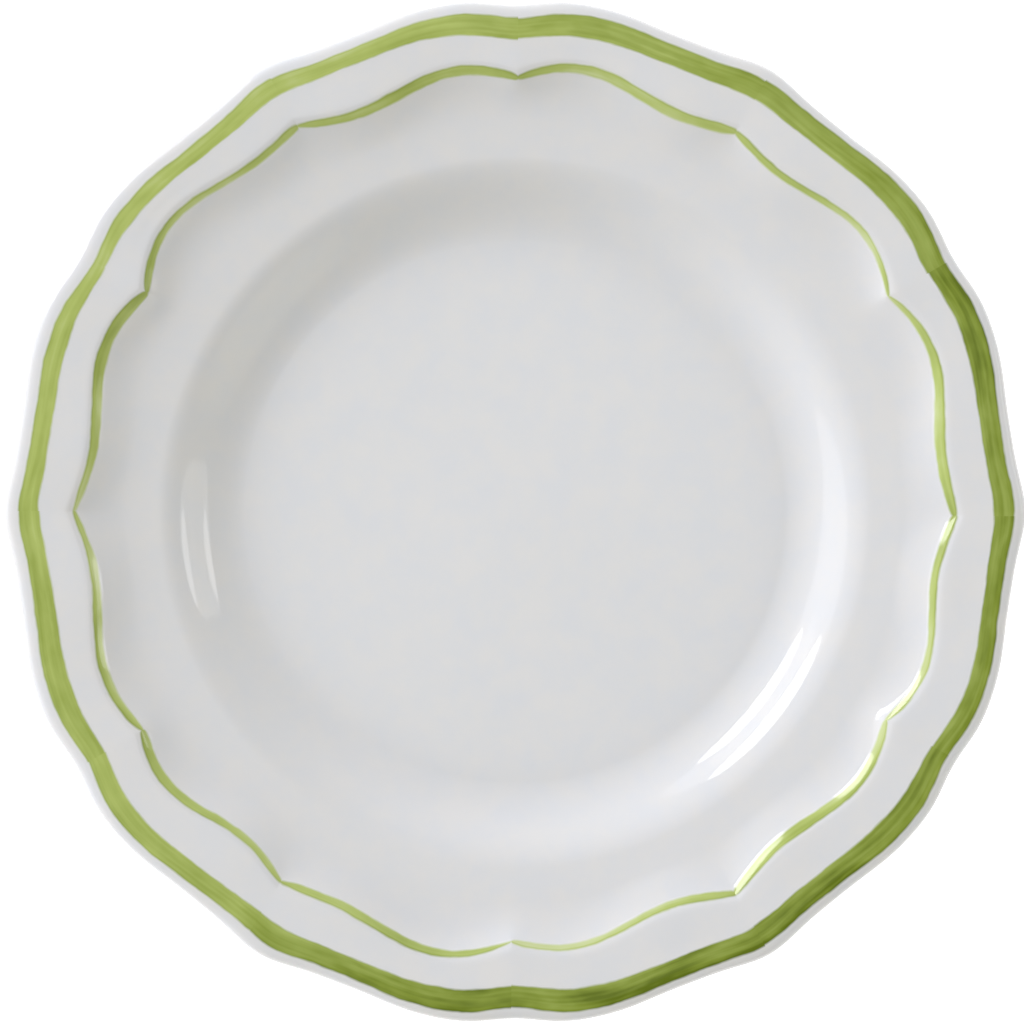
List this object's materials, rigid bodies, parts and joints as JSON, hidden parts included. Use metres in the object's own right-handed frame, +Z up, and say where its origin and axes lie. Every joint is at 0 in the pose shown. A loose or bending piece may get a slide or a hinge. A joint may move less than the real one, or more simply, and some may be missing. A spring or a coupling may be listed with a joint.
{
  "type": "china dinner plate",
  "caption": "White glazed dinner plate with a lobed accolade rim, a round well on a foot ring, and hand-painted green brush strokes: a broad rim band and a thin scalloped line.",
  "frame": {"origin": "centre of the foot ring's tread, on the surface the plate stands on", "axes": "+Z up through the centre of the plate, +X towards one outward point of the lobed rim, +Y towards a notch between two lobes"},
  "size_m": [0.2654, 0.2646, 0.0249],
  "materials": {
    "fired_clay": "matt biscuit",
    "white_glaze": "glossy",
    "green_decoration": "glossy, fused into the glaze"
  },
  "bodies": {
    "root": {"clay_body": "fired_clay", "face_glaze": "white_glaze", "foot_glaze": "white_glaze", "band_stroke_01": "green_decoration", "band_stroke_02": "green_decoration", "band_stroke_03": "green_decoration", "band_stroke_04": "green_decoration", "band_stroke_05": "green_decoration", "band_stroke_06": "green_decoration", "band_stroke_07": "green_decoration", "band_stroke_08": "green_decoration", "band_stroke_09": "green_decoration", "band_stroke_10": "green_decoration", "band_stroke_11": "green_decoration", "band_stroke_12": "green_decoration", "line_stroke_01": "green_decoration", "line_stroke_02": "green_decoration", "line_stroke_03": "green_decoration", "line_stroke_04": "green_decoration", "line_stroke_05": "green_decoration", "line_stroke_06": "green_decoration", "line_stroke_07": "green_decoration", "line_stroke_08": "green_decoration", "line_stroke_09": "green_decoration", "line_stroke_10": "green_decoration", "line_stroke_11": "green_decoration", "line_stroke_12": "green_decoration"}
  },
  "joints": []
}
